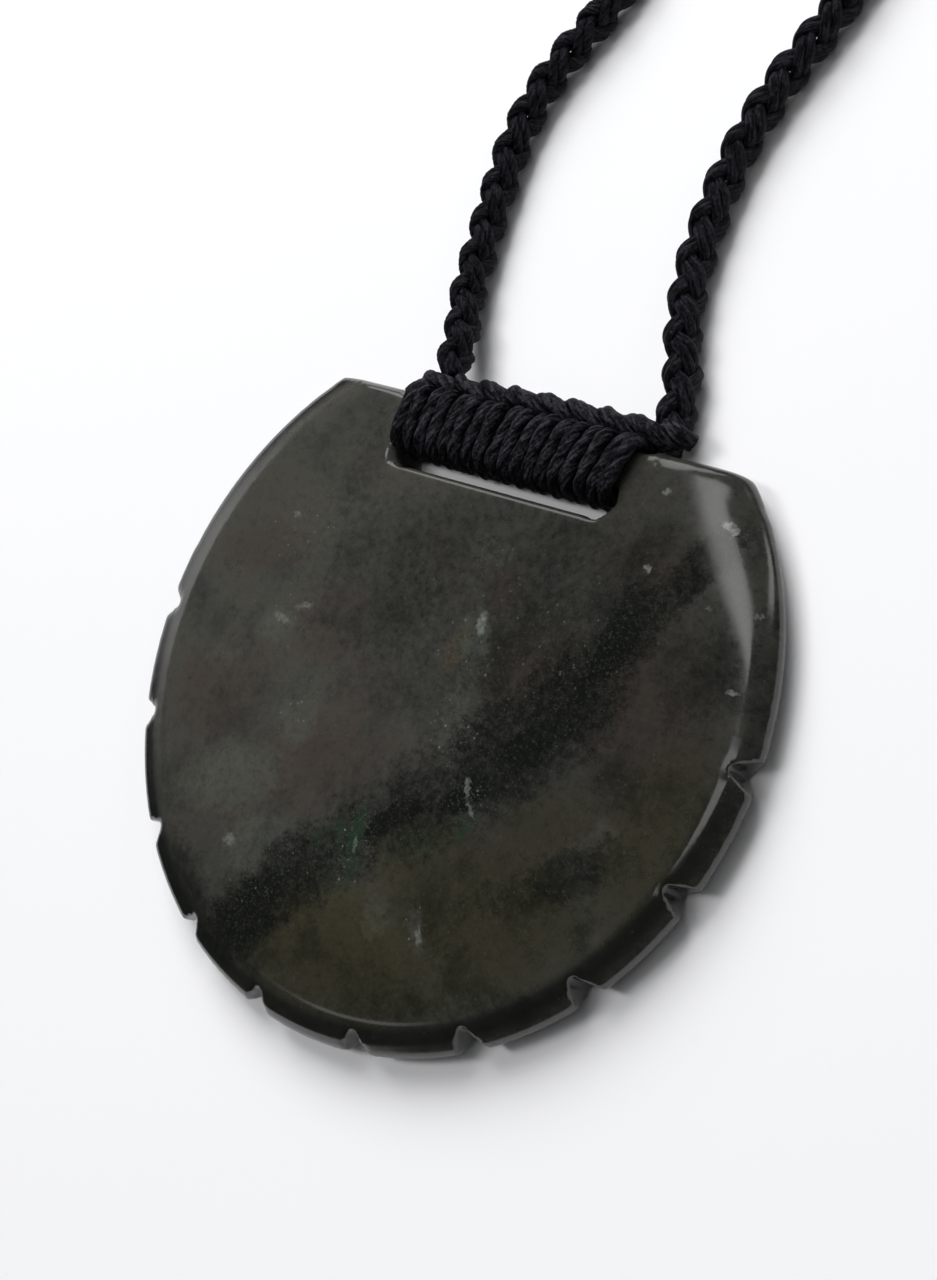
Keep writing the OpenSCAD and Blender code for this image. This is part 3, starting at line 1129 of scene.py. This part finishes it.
@dataclass
class BraidedCord:
    """The neck cord: a round braid of four strands, worked from each end of the binding to the back.

    The strands run on a ring round the cord's middle, once round in each lay. They rise and sink by the
    weave, and linger where they are high. Each is a pair of threads, which crowd together where it is low.
    The cord is gathered at its two ends. At the back, where its halves meet, the strands' lean turns over
    within turn_back points.
    """

    twine: Twine = Twine(radius=0.42 * MM, plies=2, lay=3.4 * MM, groove=0.14, points_per_ply=5)
    ring: float = 0.70 * MM
    weave: float = 0.24 * MM
    linger: float = 0.5
    pair: float = 0.31 * MM
    crowd: float = 0.15
    lay: float = 5.5 * MM
    step: float = 0.17 * MM
    legs: float = 75 * MM
    turn_back: float = 12
    gathered: float = 0.6
    gather_end: float = 4 * MM
    foot_left: Vector = Vector((-7.3, 19.6, 2.9)) * MM
    foot_right: Vector = Vector((10.9, 18.9, 1.9)) * MM

    def spine(self) -> list[tuple[Vector, float]]:
        """Works out the cord's middle line.

        Returns:
            Each point with its distance from the nearer end, more closely spaced along the two legs.
        """
        route = [Vector(point) * MM for point in CORD_ROUTE]
        fine = smooth_line([self.foot_left, *route, self.foot_right], self.step)
        last = len(fine) - 1
        marked = [(point, min(i, last - i) * self.step) for i, point in enumerate(fine)]
        return [pair for i, pair in enumerate(marked) if pair[1] < self.legs or i % 2 == 0]

    def strand(self, spine: Sequence[tuple[Vector, float]], number: int) -> list[list[Vector]]:
        """The paths of a strand's two threads in the braid.

        Args:
            spine: the cord's middle line, with each point's distance from the nearer end.
            number: the strand's number, of four. Odd ones wind against even ones.

        Returns:
            The points of each thread.
        """
        way = 1 if number % 2 else -1
        start = math.pi * (number // 2) + math.pi / 4
        crest = math.radians(45 if number % 2 else 135)
        points = [point for point, _ in spine]
        lines = [[], []]
        for i, (point, from_end) in enumerate(spine):
            to_middle = ((len(spine) - 1) / 2 - i) / self.turn_back
            ahead = heading(points, i)
            across = ahead.cross(Vector((0, 0, 1))).normalized()
            above = across.cross(ahead)
            angle = start + way * TURN * from_end / self.lay + ripple(from_end / (7 * MM), number + 5, 0.06)
            over = math.cos(2 * (angle - crest))
            angle -= self.linger / 2 * math.sin(2 * (angle - crest))
            close = min(1.0, self.gathered + from_end / self.gather_end)
            reach = (self.ring + self.weave * over) * close
            outward = across * math.cos(angle) + above * math.sin(angle)
            around = above * math.cos(angle) - across * math.sin(angle)
            lean = way * TURN / self.lay * (1 - self.linger * over) * max(-1.0, min(1.0, to_middle))
            beside = (ahead + around * reach * lean).normalized().cross(outward)
            for side, line in zip((-1, 1), lines):
                apart = side * self.pair * (1 - self.crowd + self.crowd * over) * close
                line.append(point + outward * reach + beside * apart)
        return lines

    def build(self, finish: bpy.types.Material) -> list[bpy.types.Object]:
        """Makes the cord.

        Args:
            finish: the cord's material.

        Returns:
            The four strands.
        """
        spine = self.spine()
        strands = []
        for number in range(4):
            piece = self.twine.laid(f"cord_strand_{number + 1}", self.strand(spine, number),
                                    lambda n, s: 0.97 + ripple(s / (4 * MM), 2 * number + n + 11, 0.05))
            strands.append(dressed(piece, finish, Slot.CORD, "necklace_cord"))
        return strands


@dataclass(frozen=True)
class Softbox:
    """A soft panel of light that faces the pendant, with its height towards the cord.

    Its columns are its name, the direction to it, its distance, width and height in metres, its brightness,
    and whether polished surfaces mirror it.
    """

    name: str
    towards: tuple[float, float, float]
    far: float
    wide: float
    high: float
    glow: float
    mirrored: bool = True

    def hang(self) -> bpy.types.Object:
        """Hangs the panel.

        Returns:
            The light.
        """
        data = bpy.data.lights.new(self.name, "AREA")
        data.shape = "RECTANGLE"
        data.size, data.size_y = self.wide, self.high
        data.energy = self.glow * math.pi * self.wide * self.high
        light = linked(self.name, data)
        light.visible_glossy = self.mirrored
        out = Vector(self.towards).normalized()
        side = Vector((0, 1, 0)).cross(out).normalized()
        turn = Matrix((side, out.cross(side), out)).transposed()
        light.matrix_world = Matrix.Translation(out * self.far) @ turn.to_4x4()
        return light


# The strong panels light the stone and the floor under the slot, and the dim ones give the polish its bands
SOFTBOXES = (
    Softbox("Main", (-0.33, 0.66, 0.68), 0.9, 0.66, 0.56, 6.05, mirrored=False),
    Softbox("Through", (-0.25, -0.08, 0.965), 0.8, 0.36, 0.14, 11.0, mirrored=False),
    Softbox("Band", (-0.08, 0.395, 0.915), 0.7, 0.36, 0.15, 2.7),
    Softbox("Overhead", (0.30, 0.0, 0.95), 0.8, 0.52, 0.22, 1.7),
    Softbox("Back", (0.50, 0.74, 0.45), 0.8, 0.16, 0.20, 2.2),
    Softbox("Edge", (-0.50, 0.68, 0.46), 0.8, 0.40, 0.44, 2.0),
    Softbox("Low", (-0.50, -0.47, 0.72), 0.7, 0.16, 0.16, 0.9),
)


@dataclass
class Studio:
    """A pale floor, soft lights and the camera, whose lens and sensor are in millimetres."""

    look_from: Vector = Vector((84.015, -7.089, 111.929)) * MM
    look_at: Vector = Vector((-0.02, 3.06, 0.0)) * MM
    roll: float = 62.99
    lens: float = 59.06
    sensor: float = 36.0
    nearest: float = 1 * MM
    farthest: float = 10.0
    floor_half: float = 3.0
    floor_drop: float = 0.02 * MM
    floor_colour: Colour = (0.88, 0.88, 0.895)
    room_colour: Colour = (0.93, 0.97, 1.0)
    room: float = 0.05

    def camera(self) -> bpy.types.Object:
        """Sets the camera at the photograph's angle to the pendant.

        Returns:
            The camera.
        """
        data = bpy.data.cameras.new("Camera")
        data.lens = self.lens
        data.sensor_width = self.sensor
        data.clip_start = self.nearest
        data.clip_end = self.farthest
        camera = linked("Camera", data)
        ahead = (self.look_at - self.look_from).normalized()
        turn = ahead.to_track_quat("-Z", "Y") @ Quaternion((0, 0, 1), math.radians(-self.roll))
        camera.matrix_world = Matrix.Translation(self.look_from) @ turn.to_matrix().to_4x4()
        bpy.context.scene.camera = camera
        return camera

    def floor(self) -> bpy.types.Object:
        """Lays the floor just under the pendant.

        Returns:
            The floor.
        """
        mesh = bpy.data.meshes.new("floor")
        with edited(mesh) as bm:
            bmesh.ops.create_grid(bm, x_segments=1, y_segments=1, size=self.floor_half)
            bmesh.ops.translate(bm, verts=bm.verts, vec=(0, 0, -self.floor_drop))
        board = Board("Pale_floor")
        grain = board.cloud(board.place(), 0.02, 2.0)
        paler = tuple(min(1.0, part * 1.02) for part in self.floor_colour)
        shader = {"Base Color": board.mix(grain, self.floor_colour, paler), "Roughness": 0.7}
        mesh.materials.append(board.finish(shader, []))
        floor = linked("floor", mesh)
        return floor

    def sky(self) -> None:
        """Fills the room with dim, slightly cool light."""
        world = bpy.data.worlds.new("Room")
        world.use_nodes = True
        back = world.node_tree.nodes["Background"]
        back.inputs["Color"].default_value = solid(self.room_colour)
        back.inputs["Strength"].default_value = self.room
        bpy.context.scene.world = world

    def build(self) -> None:
        """Makes the studio."""
        self.camera()
        self.floor()
        self.sky()
        for softbox in SOFTBOXES:
            softbox.hang()
        bpy.context.scene.view_settings.view_transform = "Standard"
        LOG.info("studio: camera, floor and lights")


def main() -> None:
    """Builds the studio and the pendant's pieces in order."""
    logging.basicConfig(level=logging.INFO, format="%(message)s")
    Studio().build()
    StoneDisc().build(Nephrite().material())
    thread = BOUND_THREAD.material()
    Binding().build(thread)
    HitchedPlait().build(thread)
    BraidedCord().build(BRAIDED_THREAD.material())


if __name__ == "__main__":
    main()
